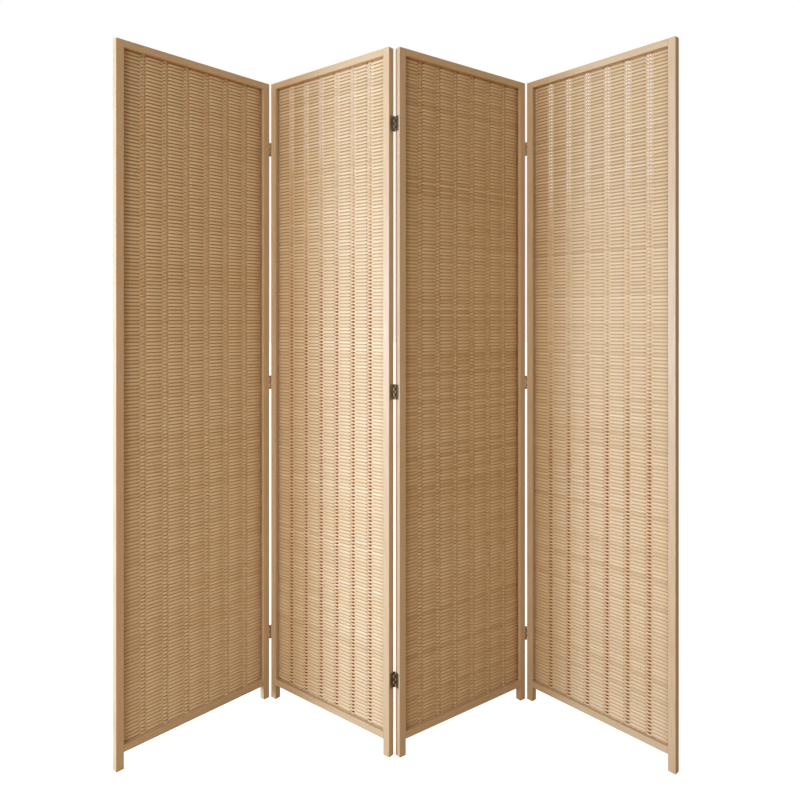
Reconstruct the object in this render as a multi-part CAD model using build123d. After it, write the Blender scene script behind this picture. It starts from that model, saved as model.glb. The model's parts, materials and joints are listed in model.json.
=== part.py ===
"""Folding room divider: four framed panels of woven bamboo, joined by three lines of butt hinges.

Each panel is modelled in its own frame and then placed: X runs along the panel from its left
end, Y from the front face to the back face and Z up from the floor. Millimetres and degrees.
"""
from build123d import *
import os

# Panel
PANEL_HEIGHT = 1800.0
PANEL_WIDTH = 450.0
FRAME_DEPTH = 18.0

# Frame members: two posts that run down to the floor, and two rails tenoned between them
POST_WIDTH = 20.0
RAIL_HEIGHT = 18.0
LEG_HEIGHT = 41.0
EDGE_ROUND = 1.0
TENON_LENGTH = 12.0
TENON_HEIGHT = 10.0
TENON_THICKNESS = 6.0

# Woven mat: horizontal splits in a groove all round, on flat slats and thin round stakes
MAT_THICKNESS = 5.5
BACK_LIP = 2.5
GROOVE_DEPTH = 5.0
MAT_EDGE_GAP = 0.5
WARP_PITCH = 60.0
SLAT_WIDTH = 36.0
SLAT_THICKNESS = 2.0
SLAT_EDGE_ROUND = 0.4
STAKE_DIAMETER = 3.0
UPRIGHT_CLEARANCE = 0.05

# Butt hinges: three on each line, with the leaves screwed on the posts' outer sides
HINGE_HEIGHT = 38.0
HINGE_END_INSET = 192.0
MIDDLE_HINGE_RAISE = 25.0
KNUCKLE_COUNT = 5
KNUCKLE_RADIUS = 2.5
KNUCKLE_GAP = 0.3
PIN_RADIUS = 1.3
PIN_CLEARANCE = 0.05
PIN_FACE_OFFSET = 0.75
PIN_HEAD_RADIUS = 2.0
PIN_HEAD_HEIGHT = 0.8
PIN_HEAD_ROUND = 0.4
LEAF_THICKNESS = 1.1
LEAF_REACH = 14.2
LEAF_CORNER_ROUND = 1.0
LEAF_RELIEF = 0.4

# Countersunk wood screws, two in each leaf
SCREW_LENGTH = 12.0
SCREW_SHANK_RADIUS = 1.25
SCREW_HEAD_RADIUS = 2.3
SCREW_HEAD_HEIGHT = 1.0
SCREW_TIP_LENGTH = 2.0
SCREW_RECESS_WIDTH = 0.5
SCREW_RECESS_SPAN = 2.6
SCREW_RECESS_DEPTH = 0.5
SCREW_END_INSET = 5.0
SCREW_REACH = 8.6

# How the screen stands: the angle between the two panels at each hinge line, left to right
FOLD_ANGLES = (95.0, 106.0, 96.5)
# The face that the pins of each hinge line stand at, left to right
PIN_FACES = ("front", "back", "front")

PANEL_COUNT = len(FOLD_ANGLES) + 1
STRAIGHT = 180.0

OPENING_WIDTH = PANEL_WIDTH - 2 * POST_WIDTH
OPENING_BOTTOM = LEG_HEIGHT + RAIL_HEIGHT
OPENING_TOP = PANEL_HEIGHT - RAIL_HEIGHT
GROOVE_FRONT = FRAME_DEPTH - BACK_LIP - MAT_THICKNESS
MAT_MIDDLE = GROOVE_FRONT + MAT_THICKNESS / 2
MAT_BOTTOM = OPENING_BOTTOM - GROOVE_DEPTH
MAT_TOP = OPENING_TOP + GROOVE_DEPTH - MAT_EDGE_GAP
MAT_HEIGHT = MAT_TOP - MAT_BOTTOM
TENON_FRONT = (GROOVE_FRONT - TENON_THICKNESS) / 2
SLAT_COUNT = int((OPENING_WIDTH - SLAT_WIDTH) // WARP_PITCH) + 1
HINGE_CENTRES = (
    HINGE_END_INSET,
    PANEL_HEIGHT / 2 + MIDDLE_HINGE_RAISE,
    PANEL_HEIGHT - HINGE_END_INSET,
)
KNUCKLE_LENGTH = (HINGE_HEIGHT - (KNUCKLE_COUNT - 1) * KNUCKLE_GAP) / KNUCKLE_COUNT
CORNER = (Align.MIN, Align.MIN, Align.MIN)
STANDING = (Align.CENTER, Align.CENTER, Align.MIN)


def block(x, y, z, width, depth, height):
    """A box from its lowest corner and its three sizes."""
    return Pos(x, y, z) * Box(width, depth, height, align=CORNER)


def rail_bottoms():
    """Heights of the undersides of the bottom rail and the top rail."""
    return (LEG_HEIGHT, PANEL_HEIGHT - RAIL_HEIGHT)


def tenon_pair(rail_bottom):
    """The tenons at both ends of one rail, as they lie in the posts' mortises."""
    z = rail_bottom + (RAIL_HEIGHT - TENON_HEIGHT) / 2
    size = (TENON_LENGTH, TENON_THICKNESS, TENON_HEIGHT)
    left = block(POST_WIDTH - TENON_LENGTH, TENON_FRONT, z, *size)
    right = block(PANEL_WIDTH - POST_WIDTH, TENON_FRONT, z, *size)
    return left + right


def groove():
    """The space that the mat's edge takes up in the posts and rails."""
    width = OPENING_WIDTH + 2 * GROOVE_DEPTH
    height = OPENING_TOP - OPENING_BOTTOM + 2 * GROOVE_DEPTH
    return block(POST_WIDTH - GROOVE_DEPTH, GROOVE_FRONT, MAT_BOTTOM, width, MAT_THICKNESS, height)


def post(x, pilot_holes):
    """One post at x, mortised for the rails, grooved for the mat and drilled for its screws."""
    body = block(x, 0, 0, POST_WIDTH, FRAME_DEPTH, PANEL_HEIGHT)
    body = fillet(body.edges(), EDGE_ROUND)
    body -= groove()
    for rail_bottom in rail_bottoms():
        body -= tenon_pair(rail_bottom)
    for hole in pilot_holes:
        body -= hole
    return body


def rail(rail_bottom):
    """One rail between the posts, with a tenon at each end and a groove for the mat."""
    body = block(POST_WIDTH, 0, rail_bottom, OPENING_WIDTH, FRAME_DEPTH, RAIL_HEIGHT)
    body = fillet(body.edges().filter_by(Axis.X), EDGE_ROUND)
    return body - groove() + tenon_pair(rail_bottom)


def slat_centres():
    """Places along the panel of the wide slats, spread evenly about its middle."""
    first = PANEL_WIDTH / 2 - (SLAT_COUNT - 1) * WARP_PITCH / 2
    return [first + index * WARP_PITCH for index in range(SLAT_COUNT)]


def stake_centres():
    """Places along the panel of the thin stakes, halfway between the slats."""
    return [centre + WARP_PITCH / 2 for centre in slat_centres()[:-1]]


def warp_slats(gap=0.0):
    """The wide flat uprights inside the mat, each made larger all round by `gap`."""
    slat = Box(SLAT_WIDTH + 2 * gap, SLAT_THICKNESS + 2 * gap, MAT_HEIGHT, align=STANDING)
    slat = fillet(slat.edges().filter_by(Axis.Z), SLAT_EDGE_ROUND + gap)
    return [Pos(x, MAT_MIDDLE, MAT_BOTTOM) * slat for x in slat_centres()]


def warp_stakes(gap=0.0):
    """The thin round uprights inside the mat, each made larger all round by `gap`."""
    rod = Cylinder(STAKE_DIAMETER / 2 + gap, MAT_HEIGHT, align=STANDING)
    return [Pos(x, MAT_MIDDLE, MAT_BOTTOM) * rod for x in stake_centres()]


def woven_mat():
    """The woven splits as one closed slab, with a channel for each upright."""
    side = POST_WIDTH - GROOVE_DEPTH + MAT_EDGE_GAP
    body = block(side, GROOVE_FRONT, MAT_BOTTOM, PANEL_WIDTH - 2 * side, MAT_THICKNESS, MAT_HEIGHT)
    for channel in warp_slats(UPRIGHT_CLEARANCE) + warp_stakes(UPRIGHT_CLEARANCE):
        body -= channel
    return body


def screw_blank():
    """A screw without its recess: head flat on z = 0, tip up."""
    profile = Polyline(
        (0, 0),
        (SCREW_HEAD_RADIUS, 0),
        (SCREW_SHANK_RADIUS, SCREW_HEAD_HEIGHT),
        (SCREW_SHANK_RADIUS, SCREW_LENGTH - SCREW_TIP_LENGTH),
        (0, SCREW_LENGTH),
        close=True,
    )
    return revolve(Plane.XZ * make_face(profile), Axis.Z)


def screw():
    """A countersunk screw with a cross recess in its head."""
    bar = Box(SCREW_RECESS_SPAN, SCREW_RECESS_WIDTH, 2 * SCREW_RECESS_DEPTH)
    return screw_blank() - bar - Rot(0, 0, 90) * bar


def screw_places(side, inward):
    """Places of a leaf's screws about the pin: `side` is +1 for a post at +X of the pin,
    and `inward` is +1 where the leaf runs from the pin towards +Y."""
    face = side * (KNUCKLE_RADIUS - LEAF_THICKNESS)
    height = HINGE_HEIGHT / 2 - SCREW_END_INSET
    return [Location((face, inward * SCREW_REACH, z), (0, side * 90, 0)) for z in (-height, height)]


def knuckle_centre(index):
    """Height of a knuckle's middle above the hinge's middle."""
    return (index - (KNUCKLE_COUNT - 1) / 2) * (KNUCKLE_LENGTH + KNUCKLE_GAP)


def hinge_leaf(side, inward, first_knuckle, bore_radius):
    """One leaf with every other knuckle from `first_knuckle`, about the pin's axis."""
    plate = Pos(side * (KNUCKLE_RADIUS - LEAF_THICKNESS / 2), inward * LEAF_REACH / 2, 0)
    body = plate * Box(LEAF_THICKNESS, LEAF_REACH, HINGE_HEIGHT)
    across = body.edges().filter_by(Axis.X).group_by(Axis.Y)
    body = fillet(across[-1] if inward > 0 else across[0], LEAF_CORNER_ROUND)
    relief_depth = 2 * (KNUCKLE_RADIUS + LEAF_RELIEF)
    relief = Box(4 * KNUCKLE_RADIUS, relief_depth, KNUCKLE_LENGTH + 2 * KNUCKLE_GAP)
    for index in range(KNUCKLE_COUNT):
        here = Pos(0, 0, knuckle_centre(index))
        if (index - first_knuckle) % 2 == 0:
            body += here * Cylinder(KNUCKLE_RADIUS, KNUCKLE_LENGTH)
        else:
            body -= here * relief
    body -= Cylinder(bore_radius, 2 * HINGE_HEIGHT)
    for place in screw_places(side, inward):
        body -= place * screw_blank()
    return body


def hinge_pin():
    """The pin, with a low rounded head against each end of the knuckles."""
    head = Cylinder(PIN_HEAD_RADIUS, PIN_HEAD_HEIGHT)
    rim = head.edges().filter_by(GeomType.CIRCLE).group_by(Axis.Z)[-1]
    head = Pos(0, 0, (HINGE_HEIGHT + PIN_HEAD_HEIGHT) / 2) * fillet(rim, PIN_HEAD_ROUND)
    return Cylinder(PIN_RADIUS, HINGE_HEIGHT) + head + Rot(180, 0, 0) * head


def pin_point(edge, pin_face):
    """Where a hinge line meets a panel's own frame, beyond its left or right edge."""
    x = -KNUCKLE_RADIUS if edge == "left" else PANEL_WIDTH + KNUCKLE_RADIUS
    y = -PIN_FACE_OFFSET if pin_face == "front" else FRAME_DEPTH + PIN_FACE_OFFSET
    return Vector(x, y, 0)


def leaf_sides(edge, pin_face):
    """The side of the pin that a post lies on, and the way its leaf runs in Y."""
    return (1 if edge == "left" else -1, 1 if pin_face == "front" else -1)


def panel_edges(number):
    """The hinged edges of panel `number`, counted from 1, each with its line's number."""
    edges = {}
    if number > 1:
        edges["left"] = number - 1
    if number < PANEL_COUNT:
        edges["right"] = number
    return edges


def place_panels():
    """Each panel's location, as the screen stands folded in a zigzag."""
    turn = [STRAIGHT - angle for angle in FOLD_ANGLES]
    yaw = turn[0] - turn[1] / 2
    origin = Vector(0, 0, 0)
    places = [Location(origin, (0, 0, yaw))]
    for line, face in enumerate(PIN_FACES):
        pin = (places[-1] * Location(pin_point("right", face))).position
        yaw += -turn[line] if face == "front" else turn[line]
        origin = pin - pin_point("left", face).rotate(Axis.Z, yaw)
        places.append(Location(origin, (0, 0, yaw)))
    return places


def panel_parts(number):
    """Every piece of one panel in its own frame, by node name. Left posts carry the leaf
    of two knuckles, and right posts the leaf of three that grips the pin."""
    name = f"panel_{number}"
    parts = {}
    screws = []
    pilots = {"left": [], "right": []}
    for edge, line in panel_edges(number).items():
        face = PIN_FACES[line - 1]
        side, inward = leaf_sides(edge, face)
        three = edge == "right"
        bore = PIN_RADIUS if three else PIN_RADIUS + PIN_CLEARANCE
        leaf = hinge_leaf(side, inward, 0 if three else 1, bore)
        for level, height in enumerate(HINGE_CENTRES, start=1):
            at_pin = Location(pin_point(edge, face) + Vector(0, 0, height))
            hinge = f"hinge_{line}_{level}"
            parts[f"{hinge}_{edge}_post_leaf"] = at_pin * leaf
            if three:
                parts[f"{hinge}_pin"] = at_pin * hinge_pin()
            for place in screw_places(side, inward):
                screws.append(at_pin * place * screw())
                pilots[edge].append(at_pin * place * screw_blank())
    parts[f"{name}_left_post"] = post(0, pilots["left"])
    parts[f"{name}_right_post"] = post(PANEL_WIDTH - POST_WIDTH, pilots["right"])
    for member, rail_bottom in zip(("bottom_rail", "top_rail"), rail_bottoms()):
        parts[f"{name}_{member}"] = rail(rail_bottom)
    parts[f"{name}_woven_mat"] = woven_mat()
    parts[f"{name}_warp_slats"] = Compound(children=warp_slats())
    parts[f"{name}_warp_stakes"] = Compound(children=warp_stakes())
    parts[f"{name}_hinge_screws"] = Compound(children=screws)
    return parts


def build():
    """Every piece of the screen by node name, and the pin line of each joint. The middle
    of the screen's box stands on the origin."""
    places = place_panels()
    nodes = {}
    for number, place in enumerate(places, start=1):
        for name, piece in panel_parts(number).items():
            nodes[name] = place * piece
    posts = Compound([piece for name, piece in nodes.items() if name.endswith("_post")])
    middle = posts.bounding_box().center()
    shift = Pos(-middle.X, -middle.Y, 0)
    nodes = {name: shift * piece for name, piece in nodes.items()}
    pins = [
        (shift * place * Location(pin_point("right", face))).position
        for place, face in zip(places, PIN_FACES)
    ]
    return nodes, pins


def main():
    """Write one STEP file for each node."""
    os.makedirs("parts", exist_ok=True)
    nodes, pins = build()
    for name, piece in nodes.items():
        export_step(piece, f"parts/{name}.step")
    for line, pin in enumerate(pins, start=1):
        print(f"hinge line {line}: x {pin.X:.4f} y {pin.Y:.4f}")


main()
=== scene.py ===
"""Folding room divider screen: four framed panels of woven bamboo on small butt hinges.

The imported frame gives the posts, rails, uprights and hinges. This script weaves each mat's bamboo
splits over the uprights, gives every part its finish, and sets a plain pale studio. All lengths are
in metres and all angles in radians unless a name says otherwise.
"""

import json
import logging
import math
from dataclasses import dataclass
from enum import Enum
from typing import Dict, Optional, Sequence, Tuple

import bmesh
import bpy
import numpy as np
from mathutils import Matrix, Vector


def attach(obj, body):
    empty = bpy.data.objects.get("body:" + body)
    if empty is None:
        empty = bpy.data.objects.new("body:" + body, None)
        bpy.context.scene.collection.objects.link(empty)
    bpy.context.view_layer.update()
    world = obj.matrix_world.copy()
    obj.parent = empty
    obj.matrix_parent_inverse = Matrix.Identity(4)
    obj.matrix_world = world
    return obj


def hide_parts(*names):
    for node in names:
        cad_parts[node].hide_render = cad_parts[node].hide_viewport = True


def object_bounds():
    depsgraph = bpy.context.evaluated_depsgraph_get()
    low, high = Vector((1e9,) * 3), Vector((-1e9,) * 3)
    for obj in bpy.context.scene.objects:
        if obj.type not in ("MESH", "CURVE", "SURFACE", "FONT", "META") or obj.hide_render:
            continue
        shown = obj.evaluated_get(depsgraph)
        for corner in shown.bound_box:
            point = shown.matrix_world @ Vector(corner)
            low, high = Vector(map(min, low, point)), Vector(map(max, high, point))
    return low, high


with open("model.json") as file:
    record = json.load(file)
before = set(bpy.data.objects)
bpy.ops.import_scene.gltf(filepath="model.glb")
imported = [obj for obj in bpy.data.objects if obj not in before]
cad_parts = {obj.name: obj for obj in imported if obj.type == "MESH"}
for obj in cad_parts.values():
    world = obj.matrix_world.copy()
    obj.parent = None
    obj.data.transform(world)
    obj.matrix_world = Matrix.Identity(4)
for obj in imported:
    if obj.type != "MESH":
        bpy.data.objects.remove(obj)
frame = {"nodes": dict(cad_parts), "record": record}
CAD_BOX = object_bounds()

LOG = logging.getLogger("screen")
MM = 0.001
PANEL_COUNT = 4
HINGE_LEVELS = 3
MIDDLE_LINE = 2
WHITE = (1.0, 1.0, 1.0, 1.0)
# The span in which most of a noise texture's values lie
NOISE_LOW = 0.3
NOISE_HIGH = 0.7

Colour = Tuple[float, float, float]
Triple = Tuple[float, float, float]


# ---- Where the panels stand ----


@dataclass(frozen=True)
class PanelFrame:
    """One panel's own axes: X along the panel from its left foot, Y from front to back, Z up."""

    name: str
    left_foot: Vector
    right_foot: Vector

    @classmethod
    def from_record(cls, number: int, record: dict) -> "PanelFrame":
        """Reads where a panel's two feet stand.

        Args:
            number: The panel's number, from 1 at the left.
            record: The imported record.

        Returns:
            The panel's frame.
        """
        places = {mount["name"]: Vector(mount["pos_m"]) for mount in record["mounts"]}
        left = places[f"foot_panel_{number}_left"]
        right = places[f"foot_panel_{number}_right"]
        return cls(f"panel_{number}", left, right)

    @property
    def yaw(self) -> float:
        """Angle of the panel's length about the vertical."""
        along = self.right_foot - self.left_foot
        return math.atan2(along.y, along.x)

    @property
    def to_world(self) -> Matrix:
        """The transform from the panel's axes to the shared frame."""
        return Matrix.Translation(self.left_foot) @ Matrix.Rotation(self.yaw, 4, "Z")

    def measure(self, node: str) -> np.ndarray:
        """Gives a CAD node's points in the panel's axes.

        Args:
            node: The CAD node's name.

        Returns:
            The points, one row each.
        """
        vertices = frame["nodes"][node].data.vertices
        points = np.empty(len(vertices) * 3, np.float32)
        vertices.foreach_get("co", points)
        return move_points(points.reshape(-1, 3), self.to_world.inverted())


def move_points(points: np.ndarray, transform: Matrix) -> np.ndarray:
    """Moves points, one row each, by a 4 by 4 transform."""
    rows = np.array(transform)
    return points @ rows[:3, :3].T + rows[:3, 3]


def smooth_step(values: np.ndarray, start: float, end: float) -> np.ndarray:
    """Rises smoothly from 0 at start to 1 at end, or falls where end is the lower."""
    part = np.clip((values - start) / (end - start), 0.0, 1.0)
    return part * part * (3.0 - 2.0 * part)


@dataclass(frozen=True)
class Fade:
    """How strong something is at each height of a panel."""

    starts: float
    full: float
    most: float

    def at(self, level: np.ndarray) -> np.ndarray:
        """Gives the strength at some heights, from none at starts to the most at full."""
        return self.most * smooth_step(level, self.starts, self.full)


@dataclass(frozen=True)
class Weave:
    """How one mat turned out: where it is loose, how strong its painted shade is at each height,
    and its tone.
    """

    loose: Fade
    # Painted shade in the hollows at the stakes, stronger lower down; it also narrows and drops
    # splits there to close the windows
    hollow_shade: Fade
    # Painted shade on the slats, darker higher up; none on panel 3, which is flatly lit
    slat_shade: Fade
    # Painted shade on the splits' outer faces at the stakes
    outer_shade: Fade
    # Each mat's mean tone, set per panel to the light it gets: painted light and shade
    tone: float


WEAVES = (
    Weave(
        loose=Fade(1.25, 1.60, 0.08),
        hollow_shade=Fade(1.20, 0.70, 0.25),
        slat_shade=Fade(0.50, 1.30, 0.45),
        outer_shade=Fade(0.8, 1.3, 0.40),
        tone=0.93,
    ),
    Weave(
        loose=Fade(1.38, 1.62, 0.80),
        hollow_shade=Fade(1.50, 1.10, 1.0),
        slat_shade=Fade(0.50, 1.50, 0.40),
        outer_shade=Fade(1.1, 1.5, 0.30),
        tone=0.70,
    ),
    Weave(
        loose=Fade(1.30, 1.65, 0.05),
        hollow_shade=Fade(1.20, 0.70, 0.20),
        slat_shade=Fade(0.60, 1.40, 0.0),
        outer_shade=Fade(0.8, 1.3, 0.20),
        tone=0.38,
    ),
    Weave(
        loose=Fade(1.20, 1.50, 1.0),
        hollow_shade=Fade(1.15, 0.75, 1.0),
        slat_shade=Fade(0.50, 1.50, 0.42),
        outer_shade=Fade(1.0, 1.4, 0.20),
        tone=0.46,
    ),
)


# ---- Shader building ----


class Nodes:
    """A small hand for building one node tree."""

    def __init__(self, tree: bpy.types.NodeTree) -> None:
        """Takes the tree to build in."""
        self.tree = tree

    def add(self, kind: str, inputs: Optional[dict] = None, **settings: object) -> bpy.types.Node:
        """Adds a node, with its settings, and its inputs set or linked.

        Args:
            kind: The node's type name.
            inputs: Input names or numbers, each with a value or an output socket.
            **settings: The node's own properties.

        Returns:
            The node.
        """
        node = self.tree.nodes.new(kind)
        for name, value in settings.items():
            setattr(node, name, value)
        for name, value in (inputs or {}).items():
            if isinstance(value, bpy.types.NodeSocket):
                self.tree.links.new(value, node.inputs[name])
            else:
                node.inputs[name].default_value = value
        return node

    def math(self, operation: str, *values: object, clamp: bool = False) -> bpy.types.NodeSocket:
        """Adds a Math node, with its inputs in order, and gives its output."""
        inputs = dict(enumerate(values))
        return self.add("ShaderNodeMath", inputs, operation=operation, use_clamp=clamp).outputs[0]

    def spread(
        self,
        value: bpy.types.NodeSocket,
        low: float,
        high: float,
        to_low: float = 0.0,
        to_high: float = 1.0,
    ) -> bpy.types.NodeSocket:
        """Adds a Map Range node, from low and high to to_low and to_high.

        Args:
            value: The socket to remap.
            low: The value that gives to_low.
            high: The value that gives to_high.
            to_low: The result at low.
            to_high: The result at high.

        Returns:
            Its output.
        """
        node = self.add("ShaderNodeMapRange", {"Value": value, "From Min": low, "From Max": high})
        node.inputs["To Min"].default_value = to_low
        node.inputs["To Max"].default_value = to_high
        return node.outputs[0]

    def noise(
        self, vector: bpy.types.NodeSocket, scale: float, detail: float = 3.0, rough: float = 0.55
    ) -> bpy.types.NodeSocket:
        """Adds a noise texture and gives its value."""
        inputs = {"Vector": vector, "Scale": scale, "Detail": detail, "Roughness": rough}
        return self.add("ShaderNodeTexNoise", inputs).outputs["Fac"]

    def blend(self, share: object, first: object, second: object) -> bpy.types.NodeSocket:
        """Adds a colour mix.

        Args:
            share: How much of the second colour there is.
            first: The first colour or socket.
            second: The second colour or socket.

        Returns:
            Its colour output.
        """
        node = self.add("ShaderNodeMix", data_type="RGBA", blend_type="MIX", clamp_factor=True)
        for index, value in ((0, share), (6, first), (7, second)):
            if isinstance(value, bpy.types.NodeSocket):
                self.tree.links.new(value, node.inputs[index])
            else:
                node.inputs[index].default_value = value if index == 0 else (*value, 1.0)
        return node.outputs[2]

    def ramp(self, share: object, stops: Sequence[Tuple[float, Colour]]) -> bpy.types.NodeSocket:
        """Adds a colour ramp.

        Args:
            share: Where on the ramp to read.
            stops: Places from 0 to 1, each with a colour.

        Returns:
            Its colour output.
        """
        node = self.add("ShaderNodeValToRGB", {"Fac": share})
        band = node.color_ramp
        while len(band.elements) < len(stops):
            band.elements.new(1.0)
        for element, (place, colour) in zip(band.elements, stops):
            element.position = place
            element.color = (*colour, 1.0)
        return node.outputs["Color"]

    def draw_out(
        self, place: bpy.types.NodeSocket, lengths: Triple, turn: float = 0.0
    ) -> bpy.types.NodeSocket:
        """Adds a Mapping node that turns a pattern about the vertical and draws it out."""
        inputs = {"Vector": place, "Rotation": (0.0, 0.0, turn), "Scale": lengths}
        return self.add("ShaderNodeMapping", inputs, vector_type="TEXTURE").outputs[0]

    def relief(
        self, height: bpy.types.NodeSocket, strength: float, depth: float
    ) -> bpy.types.NodeSocket:
        """Adds a Bump node and gives its normal."""
        inputs = {"Height": height, "Strength": strength, "Distance": depth}
        return self.add("ShaderNodeBump", inputs).outputs[0]

    def group(self, tree: bpy.types.NodeTree, inputs: dict) -> bpy.types.Node:
        """Places a shared node group with its own values."""
        return self.add("ShaderNodeGroup", inputs, node_tree=tree)


class Socket(Enum):
    """The kinds of socket a shared effect has."""

    NUMBER = "NodeSocketFloat"
    VECTOR = "NodeSocketVector"


class Effects:
    """The effects that several finishes share, each a node group built once."""

    # How fine the bands and flecks are beside the streaks, and the noise each is cut from
    BAND_FINENESS = 0.17
    BAND_SPAN = (0.33, 0.67)
    FLECK_FINENESS = 0.55
    FLECK_SPAN = (0.66, 0.74)
    # How fine the marks are beside the patches
    MARK_FINENESS = 7.0
    MARK_SPAN = (0.5, 0.75)
    # How far a rounded normal turns from the face's own at an edge, as a cosine
    EDGE_SPAN = (0.995, 0.9)
    WEAR_FINENESS = 90.0
    PATCHY_SPAN = (0.4, 0.6)
    LEAST_WEAR = 0.35

    def __init__(self) -> None:
        """Builds the groups."""
        self.grain = self._grain()
        self.mottle = self._mottle()
        self.rubbed = self._rubbed()

    @staticmethod
    def _start(
        name: str, inputs: Dict[str, Socket], outputs: Sequence[str]
    ) -> Tuple[bpy.types.NodeTree, Nodes, bpy.types.Node, bpy.types.Node]:
        """Starts a group with named sockets.

        Args:
            name: The group's name.
            inputs: Input names, each with its kind of socket.
            outputs: The names of its number outputs.

        Returns:
            The tree, its helper, its input node and its output node.
        """
        tree = bpy.data.node_groups.new(name, "ShaderNodeTree")
        for label, kind in inputs.items():
            tree.interface.new_socket(label, in_out="INPUT", socket_type=kind.value)
        for label in outputs:
            tree.interface.new_socket(label, in_out="OUTPUT", socket_type=Socket.NUMBER.value)
        hand = Nodes(tree)
        return tree, hand, hand.add("NodeGroupInput"), hand.add("NodeGroupOutput")

    def _grain(self) -> bpy.types.NodeTree:
        """Builds long fibres: fine streaks, broader bands and rare dark flecks.

        Returns:
            The group.
        """
        tree, hand, given, made = self._start(
            "Grain",
            {"Vector": Socket.VECTOR, "Fineness": Socket.NUMBER},
            ("Streaks", "Bands", "Flecks"),
        )
        place, fineness = given.outputs["Vector"], given.outputs["Fineness"]
        fine = {"Vector": place, "Scale": fineness, "Detail": 4.0, "Roughness": 0.6}
        broad = {"Vector": place, "Scale": hand.math("MULTIPLY", fineness, self.BAND_FINENESS)}
        fleck = {"Vector": place, "Scale": hand.math("MULTIPLY", fineness, self.FLECK_FINENESS)}
        for label, inputs, (low, high) in (
            ("Streaks", fine, (NOISE_LOW, NOISE_HIGH)),
            ("Bands", broad, self.BAND_SPAN),
            ("Flecks", fleck, self.FLECK_SPAN),
        ):
            noise = hand.add("ShaderNodeTexNoise", inputs).outputs["Fac"]
            tree.links.new(hand.spread(noise, low, high), made.inputs[label])
        return tree

    def _mottle(self) -> bpy.types.NodeTree:
        """Builds soft patches, for the slow change of tone over a surface, and handling marks.

        Returns:
            The group.
        """
        tree, hand, given, made = self._start(
            "Mottle", {"Vector": Socket.VECTOR, "Size": Socket.NUMBER}, ("Patches", "Marks")
        )
        place = given.outputs["Vector"]
        scale = hand.math("DIVIDE", 1.0, given.outputs["Size"])
        patches = hand.noise(place, scale, detail=2.0)
        marks = hand.noise(place, hand.math("MULTIPLY", scale, self.MARK_FINENESS), 6.0, 0.7)
        tree.links.new(hand.spread(patches, NOISE_LOW, NOISE_HIGH), made.inputs["Patches"])
        tree.links.new(hand.spread(marks, *self.MARK_SPAN), made.inputs["Marks"])
        return tree

    def _rubbed(self) -> bpy.types.NodeTree:
        """Builds a mask of edges that handling has rubbed, broken up so that it isn't even.

        Returns:
            The group.
        """
        tree, hand, given, made = self._start(
            "Rubbed edges", {"Vector": Socket.VECTOR, "Width": Socket.NUMBER}, ("Wear",)
        )
        rounded = hand.add("ShaderNodeBevel", {"Radius": given.outputs["Width"]}, samples=4)
        facing = hand.add("ShaderNodeNewGeometry").outputs["Normal"]
        normals = {0: rounded.outputs["Normal"], 1: facing}
        dot = hand.add("ShaderNodeVectorMath", normals, operation="DOT_PRODUCT")
        edge = hand.spread(dot.outputs["Value"], *self.EDGE_SPAN)
        patchy = hand.noise(given.outputs["Vector"], self.WEAR_FINENESS, 4.0)
        broken = hand.spread(patchy, *self.PATCHY_SPAN, to_low=self.LEAST_WEAR)
        tree.links.new(hand.math("MULTIPLY", edge, broken, clamp=True), made.inputs["Wear"])
        return tree


def new_material(name: str, tint: Colour) -> Tuple[bpy.types.Material, Nodes, bpy.types.Node]:
    """Starts a material.

    Args:
        name: The material's name.
        tint: Its plain colour where no nodes are shown.

    Returns:
        The material, its node helper and its Principled BSDF.
    """
    material = bpy.data.materials.new(name)
    material.use_nodes = True
    material.diffuse_color = (*tint, 1.0)
    tree = material.node_tree
    tree.nodes.clear()
    hand = Nodes(tree)
    shader = hand.add("ShaderNodeBsdfPrincipled")
    output = hand.add("ShaderNodeOutputMaterial")
    tree.links.new(shader.outputs["BSDF"], output.inputs["Surface"])
    return material, hand, shader


def join(hand: Nodes, shader: bpy.types.Node, sockets: dict) -> None:
    """Links sockets into a shader's inputs, given by name."""
    for name, socket in sockets.items():
        hand.tree.links.new(socket, shader.inputs[name])


# ---- Finishes ----


class Run(Enum):
    """Which way a part's fibres run."""

    UPRIGHT = "upright"
    ALONG_PANEL = "along_panel"


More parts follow.
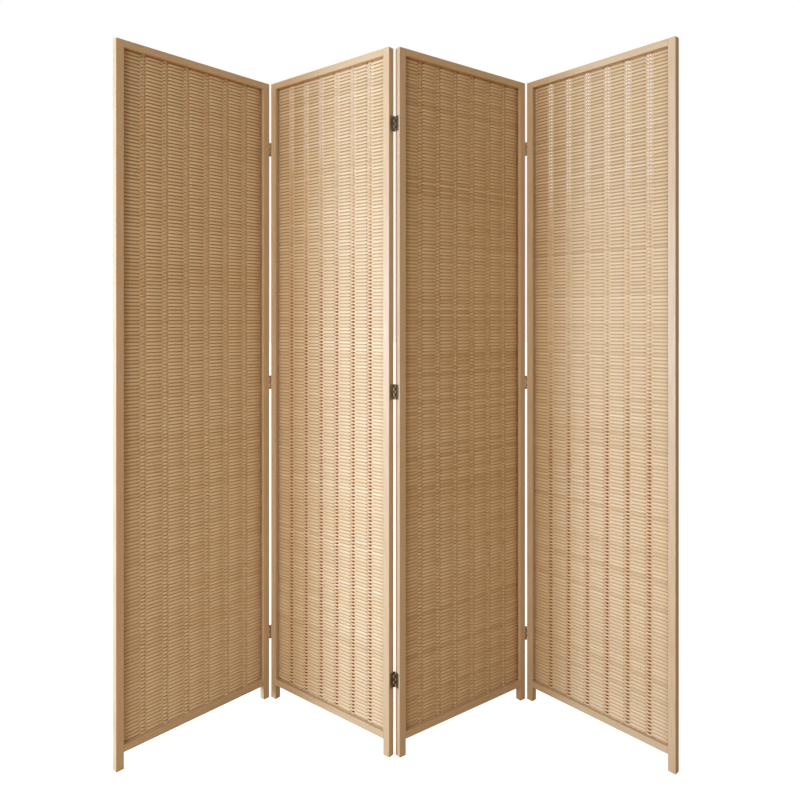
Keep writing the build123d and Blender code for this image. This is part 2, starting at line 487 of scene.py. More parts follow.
@dataclass(frozen=True)
class WoodFinish:
    """Pale planed wood under a thin satin lacquer."""

    early: Colour = (0.67, 0.485, 0.31)
    late: Colour = (0.54, 0.36, 0.205)
    pore: Colour = (0.40, 0.245, 0.125)
    rubbed: Colour = (0.77, 0.60, 0.42)
    stretch: float = 26.0
    ring_scale: float = 105.0
    fineness: float = 620.0
    patch_size: float = 0.16
    edge_width: float = 1.3 * MM
    ring_share: Tuple[float, float] = (0.15, 0.5)
    streak_share: float = 0.20
    band_share: float = 0.22
    fleck_share: float = 0.35
    wear_share: float = 0.45
    roughness: Tuple[float, float] = (0.40, 0.52)
    mark_roughness: float = 0.08
    relief: float = 0.12 * MM
    relief_strength: float = 0.25
    coat: float = 0.12
    coat_roughness: float = 0.35

    def make(self, name: str, effects: Effects, run: Run, yaw: float = 0.0) -> bpy.types.Material:
        """Builds the material for parts whose fibres run one way.

        Args:
            name: The material's name.
            effects: The shared effects.
            run: Which way the fibres run.
            yaw: The panel's angle, for fibres along the panel.

        Returns:
            The material.
        """
        material, hand, shader = new_material(name, self.early)
        place = hand.add("ShaderNodeTexCoord").outputs["Object"]
        lengths = (1.0, 1.0, self.stretch) if run is Run.UPRIGHT else (self.stretch, 1.0, 1.0)
        turned = hand.draw_out(place, lengths, yaw)
        grain = hand.group(effects.grain, {"Vector": turned, "Fineness": self.fineness})
        mottle = hand.group(effects.mottle, {"Vector": place, "Size": self.patch_size})
        rubbed = hand.group(effects.rubbed, {"Vector": place, "Width": self.edge_width})
        rings = hand.add(
            "ShaderNodeTexWave",
            {
                "Vector": turned,
                "Scale": self.ring_scale,
                "Distortion": 5.0,
                "Detail": 3.0,
                "Detail Scale": 1.4,
            },
            bands_direction="DIAGONAL",
        ).outputs["Fac"]
        patchy = hand.spread(mottle.outputs["Patches"], 0.0, 1.0, *self.ring_share)
        colour = hand.blend(hand.math("MULTIPLY", rings, patchy), self.early, self.late)
        for mask, most, tint in (
            (grain.outputs["Streaks"], self.streak_share, self.late),
            (grain.outputs["Bands"], self.band_share, self.rubbed),
            (grain.outputs["Flecks"], self.fleck_share, self.pore),
            (rubbed.outputs["Wear"], self.wear_share, self.rubbed),
        ):
            colour = hand.blend(hand.math("MULTIPLY", mask, most), colour, tint)
        dull = hand.spread(grain.outputs["Streaks"], 0.0, 1.0, *self.roughness)
        marks = hand.math("MULTIPLY", mottle.outputs["Marks"], self.mark_roughness)
        height = hand.math("SUBTRACT", grain.outputs["Streaks"], grain.outputs["Flecks"])
        sockets = {
            "Base Color": colour,
            "Roughness": hand.math("ADD", dull, marks),
            "Normal": hand.relief(height, self.relief_strength, self.relief),
        }
        join(hand, shader, sockets)
        shader.inputs["Coat Weight"].default_value = self.coat
        shader.inputs["Coat Roughness"].default_value = self.coat_roughness
        return material


@dataclass(frozen=True)
class SplitFinish:
    """Split bamboo: long straight fibres, each split its own honey tone, with its growth nodes."""

    tones: Tuple[Colour, ...] = (
        (0.63, 0.41, 0.22),
        (0.74, 0.52, 0.31),
        (0.79, 0.58, 0.36),
        (0.81, 0.60, 0.39),
        (0.87, 0.69, 0.48),
    )
    fibre: Colour = (0.55, 0.37, 0.19)
    joint: Colour = (0.42, 0.26, 0.12)
    # Painted shade colour: the hollows at the stakes, the splits' outer faces there, and the strip
    # under the top rail
    hollow_shade: Colour = (0.50, 0.22, 0.07)
    joint_pitch: float = 0.31
    joint_width: float = 1.6 * MM
    fineness: float = 2600.0
    stretch: float = 60.0
    drift_fineness: float = 320.0
    drift: float = 0.13
    patch_size: float = 0.22
    patch_drift: float = 0.08
    streak_share: float = 0.24
    joint_share: float = 0.55
    fleck_share: float = 0.22
    roughness: Tuple[float, float] = (0.44, 0.60)
    joint_rise: float = 1.6
    relief: float = 0.10 * MM
    relief_strength: float = 0.35
    coat: float = 0.06
    coat_roughness: float = 0.4

    def make(self, name: str, effects: Effects) -> bpy.types.Material:
        """Builds the material.

        Args:
            name: The material's name.
            effects: The shared effects.

        Returns:
            The material.
        """
        material, hand, shader = new_material(name, self.tones[2])
        split_map = hand.add("ShaderNodeUVMap", uv_map=WovenMat.SPLIT_MAP).outputs[0]
        place = hand.add("ShaderNodeTexCoord").outputs["Object"]
        drawn = hand.draw_out(split_map, (self.stretch, 1.0, 1.0))
        grain = hand.group(effects.grain, {"Vector": drawn, "Fineness": self.fineness})
        mottle = hand.group(effects.mottle, {"Vector": place, "Size": self.patch_size})
        tone = hand.add("ShaderNodeAttribute", attribute_name=WovenMat.TONE).outputs["Fac"]
        along = hand.noise(drawn, self.drift_fineness, detail=2.0)
        shift = hand.spread(along, NOISE_LOW, NOISE_HIGH, -self.drift, self.drift)
        patches = mottle.outputs["Patches"]
        patch = hand.spread(patches, 0.0, 1.0, -self.patch_drift, self.patch_drift)
        read = hand.math("ADD", hand.math("ADD", tone, shift), patch, clamp=True)
        last = len(self.tones) - 1
        colour = hand.ramp(read, [(index / last, tint) for index, tint in enumerate(self.tones)])
        streak_share = hand.math("MULTIPLY", grain.outputs["Streaks"], self.streak_share)
        colour = hand.blend(streak_share, colour, self.fibre)
        run = hand.add("ShaderNodeSeparateXYZ", {"Vector": split_map}).outputs["X"]
        turns = hand.math("FRACT", hand.math("DIVIDE", run, self.joint_pitch))
        away = hand.math("ABSOLUTE", hand.math("SUBTRACT", turns, 0.5))
        half = 0.5 * self.joint_width / self.joint_pitch
        joint = hand.spread(away, half, 0.35 * half)
        colour = hand.blend(hand.math("MULTIPLY", joint, self.joint_share), colour, self.joint)
        fleck_share = hand.math("MULTIPLY", grain.outputs["Flecks"], self.fleck_share)
        colour = hand.blend(fleck_share, colour, self.joint)
        # Painted shade, read from each point's painted-shade number
        painted_shade = hand.add("ShaderNodeAttribute", attribute_name=WovenMat.PAINTED_SHADE).outputs["Fac"]
        colour = hand.blend(painted_shade, colour, self.hollow_shade)
        dull = hand.spread(grain.outputs["Streaks"], 0.0, 1.0, *self.roughness)
        ridge = hand.math("MULTIPLY", joint, self.joint_rise)
        height = hand.math("ADD", grain.outputs["Streaks"], ridge)
        normal = hand.relief(height, self.relief_strength, self.relief)
        join(hand, shader, {"Base Color": colour, "Roughness": dull, "Normal": normal})
        shader.inputs["Coat Weight"].default_value = self.coat
        shader.inputs["Coat Roughness"].default_value = self.coat_roughness
        return material


@dataclass(frozen=True)
class UprightFinish:
    """The slats or stakes inside a mat: plain planed bamboo, darkened with painted shade by height.
    """

    pale: Colour
    deep: Colour
    # Colour of the painted shade
    shade_colour: Colour
    stretch: float = 40.0
    fineness: float = 1500.0
    patch_size: float = 0.12
    least_deep: float = 0.05
    streak_share: float = 0.35
    patch_share: float = 0.3
    roughness: Tuple[float, float] = (0.5, 0.65)
    relief: float = 0.1 * MM
    relief_strength: float = 0.3

    def make(self, name: str, effects: Effects, painted_shade: Fade) -> bpy.types.Material:
        """Builds the material.

        Args:
            name: The material's name.
            effects: The shared effects.
            painted_shade: How much painted shade it has at each height.

        Returns:
            The material.
        """
        material, hand, shader = new_material(name, self.pale)
        place = hand.add("ShaderNodeTexCoord").outputs["Object"]
        drawn = hand.draw_out(place, (1.0, 1.0, self.stretch))
        grain = hand.group(effects.grain, {"Vector": drawn, "Fineness": self.fineness})
        mottle = hand.group(effects.mottle, {"Vector": place, "Size": self.patch_size})
        streaks = hand.math("MULTIPLY", grain.outputs["Streaks"], self.streak_share)
        patches = hand.math("MULTIPLY", mottle.outputs["Patches"], self.patch_share)
        share = hand.math("ADD", hand.math("ADD", streaks, self.least_deep), patches, clamp=True)
        colour = hand.blend(share, self.pale, self.deep)
        # Painted shade, by height
        level = hand.add("ShaderNodeSeparateXYZ", {"Vector": place}).outputs["Z"]
        depth = hand.spread(level, painted_shade.starts, painted_shade.full, 0.0, painted_shade.most)
        colour = hand.blend(depth, colour, self.shade_colour)
        dull = hand.spread(grain.outputs["Streaks"], 0.0, 1.0, *self.roughness)
        normal = hand.relief(grain.outputs["Streaks"], self.relief_strength, self.relief)
        join(hand, shader, {"Base Color": colour, "Roughness": dull, "Normal": normal})
        return material


@dataclass(frozen=True)
class MetalFinish:
    """Plated metal, darkened in soft patches and rubbed bright on its edges."""

    dark: Colour
    plated: Colour
    bright: Colour
    wear: float = 0.7
    smooth: float = 0.32
    rough: float = 0.5
    patch_size: float = 6.0 * MM
    edge_width: float = 0.35 * MM
    stretch: float = 12.0
    fineness: float = 3500.0
    scratch_share: float = 0.5
    relief: float = 0.05 * MM
    relief_strength: float = 0.25
    metallic: float = 0.9

    def make(self, name: str, effects: Effects) -> bpy.types.Material:
        """Builds the material.

        Args:
            name: The material's name.
            effects: The shared effects.

        Returns:
            The material.
        """
        material, hand, shader = new_material(name, self.plated)
        place = hand.add("ShaderNodeTexCoord").outputs["Object"]
        mottle = hand.group(effects.mottle, {"Vector": place, "Size": self.patch_size})
        rubbed = hand.group(effects.rubbed, {"Vector": place, "Width": self.edge_width})
        drawn = hand.draw_out(place, (1.0, 1.0, self.stretch))
        grain = hand.group(effects.grain, {"Vector": drawn, "Fineness": self.fineness})
        colour = hand.blend(mottle.outputs["Patches"], self.dark, self.plated)
        scratch_share = hand.math("MULTIPLY", grain.outputs["Flecks"], self.scratch_share)
        colour = hand.blend(scratch_share, colour, self.bright)
        wear_share = hand.math("MULTIPLY", rubbed.outputs["Wear"], self.wear)
        colour = hand.blend(wear_share, colour, self.bright)
        dull = hand.spread(mottle.outputs["Patches"], 0.0, 1.0, self.rough, self.smooth)
        height = hand.math("ADD", mottle.outputs["Marks"], grain.outputs["Streaks"])
        normal = hand.relief(height, self.relief_strength, self.relief)
        join(hand, shader, {"Base Color": colour, "Roughness": dull, "Normal": normal})
        shader.inputs["Metallic"].default_value = self.metallic
        return material


# The slats are darker than the splits, as painted shade in the gaps between rows
SLAT_BAMBOO = UprightFinish(
    pale=(0.60, 0.41, 0.23),
    deep=(0.50, 0.32, 0.165),
    shade_colour=(0.27, 0.15, 0.065),
)
# The stakes darken with painted shade lower down, where they sit in the shaded windows
STAKE_BAMBOO = UprightFinish(
    pale=(0.78, 0.61, 0.40),
    deep=(0.66, 0.48, 0.28),
    shade_colour=(0.33, 0.125, 0.032),
)
HINGE_BRONZE = MetalFinish(
    dark=(0.17, 0.13, 0.09),
    plated=(0.38, 0.30, 0.205),
    bright=(0.66, 0.55, 0.41),
)
# The leaves of the outer two hinge lines, browner and lighter than the middle line's
OUTER_HINGE_BROWNER = MetalFinish(
    dark=(0.27, 0.18, 0.105),
    plated=(0.52, 0.375, 0.235),
    bright=(0.70, 0.56, 0.40),
)
PIN_BRONZE = MetalFinish(
    dark=(0.16, 0.125, 0.09),
    plated=(0.36, 0.295, 0.21),
    bright=(0.66, 0.57, 0.44),
    wear=0.8,
    smooth=0.25,
    rough=0.42,
)
SCREW_STEEL = MetalFinish(
    dark=(0.25, 0.21, 0.16),
    plated=(0.46, 0.40, 0.31),
    bright=(0.75, 0.68, 0.56),
    wear=0.9,
    smooth=0.25,
    rough=0.4,
)


class Workshop:
    """Every finish of the screen, made once and handed out by name."""

    def __init__(self, panels: Sequence[PanelFrame]) -> None:
        """Makes the finishes.

        Args:
            panels: The panels, whose angles turn the rails' grain.
        """
        effects = Effects()
        wood = WoodFinish()
        self.post = wood.make("frame_wood_posts", effects, Run.UPRIGHT)
        self.rails = {}
        for panel in panels:
            name = f"frame_wood_{panel.name}_rails"
            self.rails[panel.name] = wood.make(name, effects, Run.ALONG_PANEL, panel.yaw)
        self.splits = SplitFinish().make("bamboo_splits", effects)
        self.slats = {
            panel.name: SLAT_BAMBOO.make(f"bamboo_{panel.name}_slats", effects, weave.slat_shade)
            for panel, weave in zip(panels, WEAVES)
        }
        # The stakes take the hollow's painted shade, stronger lower down
        self.stakes = {
            panel.name: STAKE_BAMBOO.make(f"bamboo_{panel.name}_stakes", effects, weave.hollow_shade)
            for panel, weave in zip(panels, WEAVES)
        }
        self.hinge = HINGE_BRONZE.make("hinge_bronze", effects)
        self.outer_hinge = OUTER_HINGE_BROWNER.make("outer_hinge_browner", effects)
        self.pin = PIN_BRONZE.make("hinge_pin_bronze", effects)
        self.screws = SCREW_STEEL.make("hinge_screws", effects)

    @staticmethod
    def dress(piece: bpy.types.Object, finish: bpy.types.Material) -> None:
        """Gives a piece one finish in all its slots.

        Args:
            piece: The piece.
            finish: Its finish.
        """
        if not piece.material_slots:
            piece.data.materials.append(finish)
        for slot in piece.material_slots:
            slot.material = finish


# ---- The woven mat ----


class Side(Enum):
    """Which face of the wide slats a set of splits passes over."""

    FRONT = -1.0
    BACK = 1.0


@dataclass
class WovenMat:
    """One panel's mat: two sets of splits woven past each other over the slats and the stakes."""

    panel: PanelFrame
    seed: int
    weave: Weave
    row_pitch: float = 4.55 * MM
    split_height: float = 6.2 * MM
    loose_height: float = 5.5 * MM
    window_height: float = 4.3 * MM
    sheltered_height: float = 9.0 * MM
    # How far down from the top rail the painted shadow under it reaches
    rail_shadow_reach: float = 5.0 * MM
    upright_gap: float = 5.0 * MM
    loose_drop: float = 1.7 * MM
    hollow_shade_drop: float = 0.9 * MM
    split_thickness: float = 0.7 * MM
    edge_chamfer: float = 0.22 * MM
    clearance: float = 0.06 * MM
    cross_start: float = 2.0 * MM
    cross_middle: float = 7.0 * MM
    cross_end: float = 11.0 * MM
    lean_at_slat: float = math.radians(6.5)
    lean_at_crossing: float = math.radians(11.5)
    lean_at_stake: float = math.radians(3.0)
    sway: float = 0.35 * MM
    unevenness: float = 0.07 * MM
    lean_unevenness: float = math.radians(0.6)
    thickness_unevenness: float = 0.05
    least_height: float = 0.95
    bulge: float = 0.03
    tone_unevenness: float = 0.16
    tone_limits: Tuple[float, float] = (0.05, 0.98)
    inset: float = 0.01 * MM

    SPLIT_MAP = "split_map"
    TONE = "tone"
    # Each point's share of painted shade
    PAINTED_SHADE = "painted_shade"
    # Between the front and the back of a split on its unwrapping, and between two splits
    BACK_OFFSET = 6.0 * MM
    SPLIT_OFFSET = 13.0 * MM
    # What keeps the back set's random numbers apart from the front set's
    BACK_SEED = 50
    # Where a split bends, leans, widens and takes painted shade at a stake, as shares of
    # cross_middle
    BEND_SHARE = 0.52
    CROSSING_SHARE = 0.9
    SHELTER_SHARE = 0.5
    HOLLOW_SHARES = (0.55, 1.4)
    # How deep the painted shade of one face reaches round a split's edge, as a share of its
    # thickness
    EDGE_SHARE = 0.3
    # The waves of a split's line and width, along the panel and up it
    SLOW_SWAY = (8.3, 5.1)
    QUICK_SWAY = (17.0, -9.7)
    RIPPLES = (31.0, 73.0)
    BULGES = 19.0
    QUICK_SHARE = 0.6
    SEED_TURN = 1.7

    def __post_init__(self) -> None:
        """Measures the room the mat has, and where the uprights stand."""
        mat = self.panel.measure(f"{self.panel.name}_woven_mat")
        slats = self.panel.measure(f"{self.panel.name}_warp_slats")
        stakes = self.panel.measure(f"{self.panel.name}_warp_stakes")
        self.low = mat.min(axis=0)
        self.high = mat.max(axis=0)
        self.middle = 0.5 * (self.low[1] + self.high[1])
        self.slat_reach = 0.5 * (slats[:, 1].max() - slats[:, 1].min())
        self.stake_reach = 0.5 * (stakes[:, 1].max() - stakes[:, 1].min())
        self.stakes = self._centres(stakes[:, 0], self.upright_gap)
        self.under_rail = self.panel.measure(f"{self.panel.name}_top_rail").min(axis=0)[2]
        self.rows = int(round((self.high[2] - self.low[2]) / self.row_pitch))
        self.pitch = (self.high[2] - self.low[2]) / self.rows

    @staticmethod
    def _centres(places: np.ndarray, gap: float) -> np.ndarray:
        """Finds the centre of each upright.

        Args:
            places: Points' places along the panel.
            gap: The least space between two uprights.

        Returns:
            The centres, from left to right.
        """
        ordered = np.sort(places)
        cuts = np.nonzero(np.diff(ordered) > gap)[0] + 1
        return np.array([0.5 * (part[0] + part[-1]) for part in np.split(ordered, cuts)])

    def _stations(self) -> np.ndarray:
        """Gives the places along a split where it may bend: close together at the stakes.

        Returns:
            The places, from left to right.
        """
        shares = np.array([self.BEND_SHARE * self.cross_middle, self.cross_middle, self.cross_end])
        steps = np.concatenate([-shares[::-1], [0.0], shares])
        bends = (self.stakes[:, None] + steps[None, :]).ravel()
        half_pitch = 0.5 * float(np.diff(self.stakes).mean())
        crowns = np.append(self.stakes - half_pitch, self.stakes[-1] + half_pitch)
        ends = np.array([self.low[0], self.high[0]])
        return np.sort(np.concatenate([ends, bends, crowns]))

    def _split(self) -> bpy.types.Mesh:
        """Shapes one straight split, with softened long edges and cuts where it may bend.

        Returns:
            The split's mesh, lying along X with its middle on the axis.
        """
        stations = self._stations()
        length = stations[-1] - stations[0]
        bm = bmesh.new()
        bmesh.ops.create_cube(bm, size=1.0)
        bmesh.ops.scale(bm, vec=(length, self.split_thickness, self.split_height), verts=bm.verts)
        bmesh.ops.translate(bm, vec=(0.5 * (stations[0] + stations[-1]), 0.0, 0.0), verts=bm.verts)
        long_edges = [edge for edge in bm.edges if edge.calc_length() > 0.9 * length]
        bmesh.ops.bevel(
            bm,
            geom=long_edges,
            offset=self.edge_chamfer,
            offset_type="OFFSET",
            segments=1,
            profile=0.5,
            affect="EDGES",
            material=-1,
        )
        for station in stations[1:-1]:
            geometry = bm.verts[:] + bm.edges[:] + bm.faces[:]
            bmesh.ops.bisect_plane(
                bm, geom=geometry, dist=1e-7, plane_co=(station, 0.0, 0.0), plane_no=(1.0, 0.0, 0.0)
            )
        unwrap = bm.loops.layers.uv.new(self.SPLIT_MAP)
        for face in bm.faces:
            face.smooth = abs(face.normal.x) < 0.5
            behind = self.BACK_OFFSET if face.normal.y > 0.0 else 0.0
            for loop in face.loops:
                loop[unwrap].uv = (loop.vert.co.x, loop.vert.co.z + behind)
        mesh = bpy.data.meshes.new("split")
        bm.to_mesh(mesh)
        bm.free()
        return mesh

    def _stack(self, split: bpy.types.Mesh, count: int) -> bpy.types.Mesh:
        """Lays copies of a split into one mesh.

        Args:
            split: The split to copy.
            count: How many there are.

        Returns:
            The mesh, every copy in the same place.
        """
        bm = bmesh.new()
        for _ in range(count):
            bm.from_mesh(split)
        mesh = bpy.data.meshes.new(f"{self.panel.name}_splits")
        bm.to_mesh(mesh)
        bm.free()
        return mesh

    def _path(self, along: np.ndarray, side: Side) -> Tuple[np.ndarray, np.ndarray, np.ndarray]:
        """Gives the line a split takes past the uprights.

        Args:
            along: Places along the panel.
            side: Which face of the slats the split passes over.

        Returns:
            How far behind the mat's middle it is, how much of the drop at the stakes it takes, and
            how far it leans with its lower edge to the front.
        """
        away = np.abs(along[..., None] - self.stakes).min(axis=-1)
        over_slat = smooth_step(away, self.cross_start, self.cross_end)
        reach = self.CROSSING_SHARE * self.cross_middle
        crossing = 1.0 - smooth_step(np.abs(away - self.cross_middle), 0.0, reach)
        settled = self.lean_at_slat * over_slat + self.lean_at_stake * (1.0 - over_slat)
        lean = settled + (self.lean_at_crossing - settled) * crossing
        half = 0.5 * self.split_thickness + self.clearance
        slat_spread = 0.5 * self.split_height * math.sin(self.lean_at_slat)
        stake_spread = 0.5 * self.sheltered_height * math.sin(self.lean_at_stake)
        at_slat = self.slat_reach + half + slat_spread
        at_stake = self.stake_reach + half + stake_spread
        depth = side.value * (at_slat * over_slat - at_stake * (1.0 - over_slat))
        near = self.SHELTER_SHARE * self.cross_middle
        near_stake = 1.0 - smooth_step(away, near, self.cross_middle)
        drop = near_stake * (-1.0 if side is Side.FRONT else 1.0)
        return depth, drop, lean

    def _weave(self, mesh: bpy.types.Mesh, split: bpy.types.Mesh, side: Side) -> None:
        """Bends every split to its line and lays it in its row.

        Args:
            mesh: The stacked splits.
            split: The straight split they are copies of.
            side: Which face of the slats they pass over.
        """
        random = np.random.RandomState(self.seed + (0 if side is Side.FRONT else self.BACK_SEED))
        count = len(mesh.vertices) // len(split.vertices)
        points = np.empty(len(mesh.vertices) * 3, np.float32)
        mesh.vertices.foreach_get("co", points)
        points = points.reshape(count, -1, 3)
        along, across, rise = points[..., 0], points[..., 1], points[..., 2]
        numbers = 2 * np.arange(count) + (0 if side is Side.FRONT else 1)
        level = (self.low[2] + (numbers + 0.5) * self.pitch)[:, None]
        level = level + random.normal(0.0, 0.5 * self.unevenness, count)[:, None]
        loose = self.weave.loose.at(level)
        thickness = random.normal(1.0, self.thickness_unevenness, count)[:, None]
        height = random.uniform(self.least_height, 1.0, count)[:, None]
        slack = random.normal(0.0, self.unevenness, count)[:, None]
        depth, drop, lean = self._path(along, side)
        full = self.split_height + loose * (self.loose_height - self.split_height)
        hollow_shade = self.weave.hollow_shade.at(level)
        if side is Side.FRONT:
            at_stake = self.sheltered_height + loose * (self.window_height - self.sheltered_height)
        else:
            at_stake = full + np.maximum(loose, hollow_shade) * (self.window_height - full)
        narrowed = full + np.abs(drop) * (at_stake - full)
        height = height * narrowed / self.split_height
        lean = lean + random.normal(0.0, self.lean_unevenness, count)[:, None]
        phase = random.uniform(0.0, 2.0 * math.pi, (2, count))[..., None]
        slow, quick = (np.sin(along * wave + turn) for wave, turn in zip(self.RIPPLES, phase))
        wander = self.unevenness * (slow + self.QUICK_SHARE * quick)
        bulge = 1.0 + self.bulge * np.sin(along * self.BULGES + phase[1])
        flat = across * thickness
        tall = rise * height * bulge
        woven = np.empty_like(points)
        woven[..., 0] = along
        woven[..., 1] = self.middle + depth + slack + flat * np.cos(lean) + tall * np.sin(lean)
        row = level + self._sway(along, level) + wander
        woven[..., 2] = row - flat * np.sin(lean) + tall * np.cos(lean)
        if side is Side.FRONT:
            woven[..., 2] += (loose * self.loose_drop + hollow_shade * self.hollow_shade_drop) * drop
        for axis in (1, 2):
            bounds = (self.low[axis] + self.inset, self.high[axis] - self.inset)
            woven[..., axis] = np.clip(woven[..., axis], *bounds)
        placed = move_points(woven.reshape(-1, 3), self.panel.to_world)
        mesh.vertices.foreach_set("co", placed.astype(np.float32).ravel())
        self._lay_map(mesh, count, random)
        self._tone(mesh, count, random)
        # Painted shade at the stakes, on the face that looks into the hollow and on the outer face,
        # and a painted shadow under the top rail
        edge = self.EDGE_SHARE * self.split_thickness
        inner = smooth_step(side.value * across, -edge, edge)
        painted_shade = hollow_shade * inner + self.weave.outer_shade.at(level) * (1.0 - inner)
        rail_shadow = smooth_step(level, self.under_rail - self.rail_shadow_reach, self.under_rail)
        self._store(mesh, self.PAINTED_SHADE, np.maximum(painted_shade * self._behind_stake(along), rail_shadow))
        mesh.update()

    def _sway(self, along: np.ndarray, level: np.ndarray) -> np.ndarray:
        """Gives the slow rise and fall that neighbouring rows share.

        Args:
            along: Places along the panel.
            level: The rows' heights.

        Returns:
            How far each place is lifted.
        """
        turn = self.seed * self.SEED_TURN
        slow = np.sin(along * self.SLOW_SWAY[0] + level * self.SLOW_SWAY[1] + turn)
        quick = np.sin(along * self.QUICK_SWAY[0] + level * self.QUICK_SWAY[1] + 2.0 * turn)
        return self.sway * (slow + self.QUICK_SHARE * quick)

    def _lay_map(self, mesh: bpy.types.Mesh, count: int, random: np.random.RandomState) -> None:
        """Moves each split's unwrapping to its own place, so that no two have the same fibres.

        Args:
            mesh: The woven splits.
            count: How many splits there are.
            random: The mat's own random numbers.
        """
        layer = mesh.uv_layers[self.SPLIT_MAP].data
        places = np.empty(len(layer) * 2, np.float32)
        layer.foreach_get("uv", places)
        places = places.reshape(count, -1, 2)
        places[..., 0] += random.uniform(0.0, 3.0, count)[:, None]
        places[..., 1] += self.SPLIT_OFFSET * np.arange(count)[:, None]
        layer.foreach_set("uv", places.ravel())

    def _tone(self, mesh: bpy.types.Mesh, count: int, random: np.random.RandomState) -> None:
        """Gives each split its own tone."""
        tones = random.normal(self.weave.tone, self.tone_unevenness, count).clip(*self.tone_limits)
        self._store(mesh, self.TONE, np.repeat(tones, len(mesh.vertices) // count))

    def _behind_stake(self, along: np.ndarray) -> np.ndarray:
        """Gives how far places along a split lie in the hollow at a stake.

        Args:
            along: Places along the panel.

        Returns:
            How far, from 0 to 1.
        """
        away = np.abs(along[..., None] - self.stakes).min(axis=-1)
        start, end = (share * self.cross_middle for share in self.HOLLOW_SHARES)
        return 1.0 - smooth_step(away, start, end)

    @staticmethod
    def _store(mesh: bpy.types.Mesh, name: str, values: np.ndarray) -> None:
        """Keeps a number for each point of a mesh."""
        attribute = mesh.attributes.new(name, "FLOAT", "POINT")
        attribute.data.foreach_set("value", values.astype(np.float32).ravel())

    def build(self, workshop: Workshop) -> None:
        """Weaves both sets of splits in place of the plain mat.

        Args:
            workshop: The finishes.
        """
        split = self._split()
        for side in Side:
            count = (self.rows + (1 if side is Side.FRONT else 0)) // 2
            mesh = self._stack(split, count)
            self._weave(mesh, split, side)
            piece = bpy.data.objects.new(f"{self.panel.name}_splits_{side.name.lower()}", mesh)
            bpy.context.scene.collection.objects.link(piece)
            workshop.dress(piece, workshop.splits)
            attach(piece, self.panel.name)
            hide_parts(f"{self.panel.name}_woven_mat")
            triangles = sum(len(face.vertices) - 2 for face in mesh.polygons)
            LOG.info("%s: %d splits, %d triangles", piece.name, count, triangles)
        bpy.data.meshes.remove(split)


# ---- The carried-over parts ----


@dataclass
class PanelJoinery:
    """A panel's posts, rails, uprights and hinge screws, which keep their CAD shape."""

    panel: PanelFrame

    def build(self, workshop: Workshop) -> None:
        """Gives each part its finish.

        Args:
            workshop: The finishes.
        """
        finishes = {
            "left_post": workshop.post,
            "right_post": workshop.post,
            "bottom_rail": workshop.rails[self.panel.name],
            "top_rail": workshop.rails[self.panel.name],
            "warp_slats": workshop.slats[self.panel.name],
            "warp_stakes": workshop.stakes[self.panel.name],
            "hinge_screws": workshop.screws,
        }
        for part, finish in finishes.items():
            workshop.dress(frame["nodes"][f"{self.panel.name}_{part}"], finish)
            LOG.info("%s_%s: %s", self.panel.name, part, finish.name)


@dataclass
class HingeLine:
    """The three butt hinges between two panels, which keep their CAD shape."""

    number: int

    def build(self, workshop: Workshop) -> None:
        """Gives the leaves and pins their finish.

        Args:
            workshop: The finishes.
        """
        leaf_finish = workshop.hinge if self.number == MIDDLE_LINE else workshop.outer_hinge
        for level in range(1, HINGE_LEVELS + 1):
            stem = f"hinge_{self.number}_{level}"
            for side in ("right", "left"):
                workshop.dress(frame["nodes"][f"{stem}_{side}_post_leaf"], leaf_finish)
            workshop.dress(frame["nodes"][f"{stem}_pin"], workshop.pin)
            LOG.info("%s: two leaves and a pin", stem)


# ---- The studio ----


@dataclass(frozen=True)
class SoftLight:
    """A large soft lamp aimed at the middle of the screen."""

    name: str
    azimuth_deg: float
    elevation_deg: float
    distance: float
    width: float
    height: float
    colour: Colour
    power: float

    def build(self, target: Vector) -> bpy.types.Object:
        """Hangs the lamp.

        Args:
            target: What it is aimed at.

        Returns:
            The lamp.
        """
        turn = math.radians(self.azimuth_deg)
        lift = math.radians(self.elevation_deg)
        level = math.cos(lift)
        away = Vector((math.sin(turn) * level, -math.cos(turn) * level, math.sin(lift)))
        data = bpy.data.lights.new(self.name, "AREA")
        data.shape = "RECTANGLE"
        data.size = self.width
        data.size_y = self.height
        data.color = self.colour
        data.energy = self.power
        lamp = bpy.data.objects.new(self.name, data)
        lamp.location = target + away * self.distance
        lamp.rotation_mode = "QUATERNION"
        lamp.rotation_quaternion = (-away).to_track_quat("-Z", "Y")
        lamp.visible_camera = False
        bpy.context.scene.collection.objects.link(lamp)
        return lamp


@dataclass(frozen=True)
class Camera:
    """The view of the screen: level, with the lens moved down and left behind it."""

    place: Triple = (0.06118, -1.81409, 1.10986)
    turn: float = 0.0114
    lens_mm: float = 30.32
    sensor_mm: float = 36.0
    shift_x: float = -0.0156
    shift_y: float = -0.1009

    def build(self) -> bpy.types.Object:
        """Sets up the camera and makes it the scene's.

        Returns:
            The camera.
        """
        data = bpy.data.cameras.new("camera")
        data.sensor_width = self.sensor_mm
        data.lens = self.lens_mm
        data.shift_x = self.shift_x
        data.shift_y = self.shift_y
        camera = bpy.data.objects.new("camera", data)
        camera.location = self.place
        camera.rotation_euler = (math.pi / 2, 0.0, self.turn)
        bpy.context.scene.collection.objects.link(camera)
        bpy.context.scene.camera = camera
        return camera


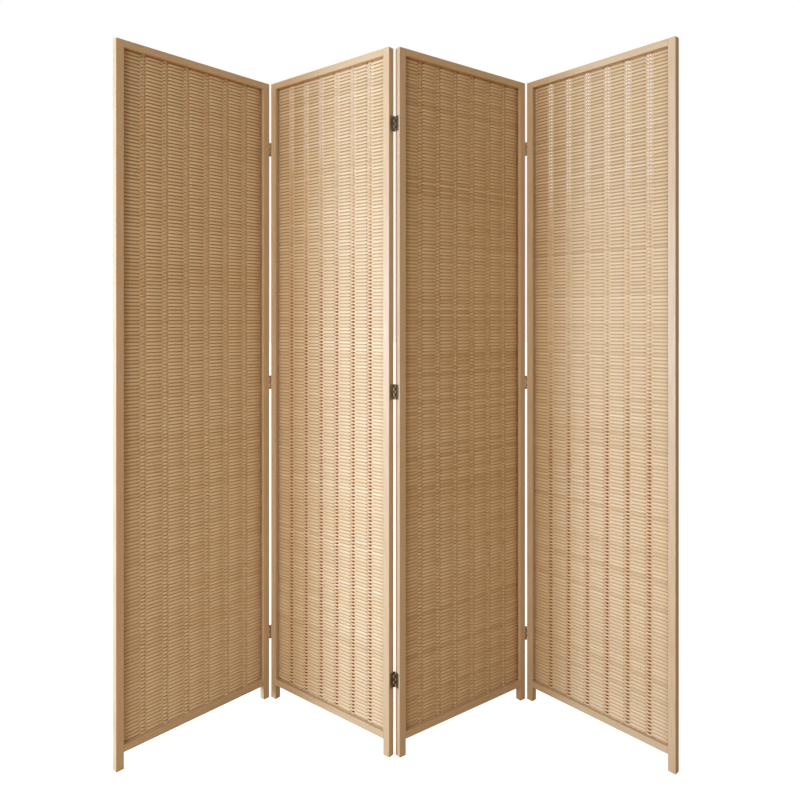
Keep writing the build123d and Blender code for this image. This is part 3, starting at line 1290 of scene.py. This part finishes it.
@dataclass
class Studio:
    """A plain pale floor in a white room, lit softly from the front left.

    The floor and the room look white, and throw a weaker, warm light on the screen.
    """

    floor_size: float = 60.0
    surround: Colour = (1.0, 0.86, 0.67)
    surround_strength: float = 0.435
    floor_seen: Colour = (0.80, 0.80, 0.80)
    floor_thrown: Colour = (0.56, 0.41, 0.26)

    LIGHTS = (
        SoftLight("window", -65.0, 2.5, 3.4, 0.9, 0.9, (0.56, 0.78, 1.0), 70.0),
        SoftLight("window_top", -58.0, 34.0, 3.4, 0.9, 0.9, (0.84, 0.94, 1.0), 9.0),
        SoftLight("window_side", -72.0, 2.5, 3.4, 0.9, 0.9, (0.57, 0.74, 1.0), 35.0),
        SoftLight("front", -30.0, 8.0, 3.4, 1.6, 1.6, (1.0, 0.99, 0.92), 38.8),
    )

    def build(self, middle: Vector) -> None:
        """Sets up the floor, the room, the lights and the colour handling.

        Args:
            middle: The middle of the screen.
        """
        scene = bpy.context.scene
        scene.view_settings.view_transform = "Standard"
        scene.view_settings.look = "None"
        self._floor()
        self._room()
        for light in self.LIGHTS:
            light.build(middle)

    def _floor(self) -> None:
        """Lays the floor, which glows only where it is looked at."""
        bm = bmesh.new()
        bmesh.ops.create_grid(bm, x_segments=8, y_segments=8, size=0.5 * self.floor_size)
        mesh = bpy.data.meshes.new("floor")
        bm.to_mesh(mesh)
        bm.free()
        floor = bpy.data.objects.new("floor", mesh)
        bpy.context.scene.collection.objects.link(floor)
        material = bpy.data.materials.new("pale_floor")
        material.use_nodes = True
        tree = material.node_tree
        tree.nodes.clear()
        hand = Nodes(tree)
        seen = hand.add("ShaderNodeLightPath").outputs["Is Camera Ray"]
        tint = hand.blend(seen, self.floor_thrown, self.floor_seen)
        matt = hand.add("ShaderNodeBsdfDiffuse", {"Color": tint})
        glow = hand.add("ShaderNodeEmission", {"Color": WHITE, "Strength": seen})
        both = hand.add("ShaderNodeAddShader", {0: matt.outputs[0], 1: glow.outputs[0]})
        hand.add("ShaderNodeOutputMaterial", {"Surface": both.outputs[0]})
        floor.data.materials.append(material)

    def _room(self) -> None:
        """Surrounds the scene with white to look at, and with a weaker warm light."""
        world = bpy.data.worlds.new("room")
        bpy.context.scene.world = world
        world.use_nodes = True
        tree = world.node_tree
        tree.nodes.clear()
        hand = Nodes(tree)
        seen = hand.add("ShaderNodeLightPath").outputs["Is Camera Ray"]
        warm_inputs = {"Color": (*self.surround, 1.0), "Strength": self.surround_strength}
        warm = hand.add("ShaderNodeBackground", warm_inputs)
        white = hand.add("ShaderNodeBackground", {"Color": WHITE, "Strength": 1.0})
        either = hand.add("ShaderNodeMixShader", {0: seen, 1: warm.outputs[0], 2: white.outputs[0]})
        hand.add("ShaderNodeOutputWorld", {"Surface": either.outputs[0]})


# ---- The whole screen ----


def main() -> None:
    """Builds the camera, the panels, the hinges and the studio."""
    logging.basicConfig(level=logging.INFO, format="%(message)s")
    Camera().build()
    numbers = range(1, PANEL_COUNT + 1)
    panels = [PanelFrame.from_record(number, frame["record"]) for number in numbers]
    workshop = Workshop(panels)
    for number, (panel, weave) in enumerate(zip(panels, WEAVES), start=1):
        WovenMat(panel, seed=11 * number, weave=weave).build(workshop)
        PanelJoinery(panel).build(workshop)
    for number in range(1, PANEL_COUNT):
        HingeLine(number).build(workshop)
    middle = 0.5 * (CAD_BOX[0] + CAD_BOX[1])
    Studio().build(middle)


if __name__ == "__main__":
    main()
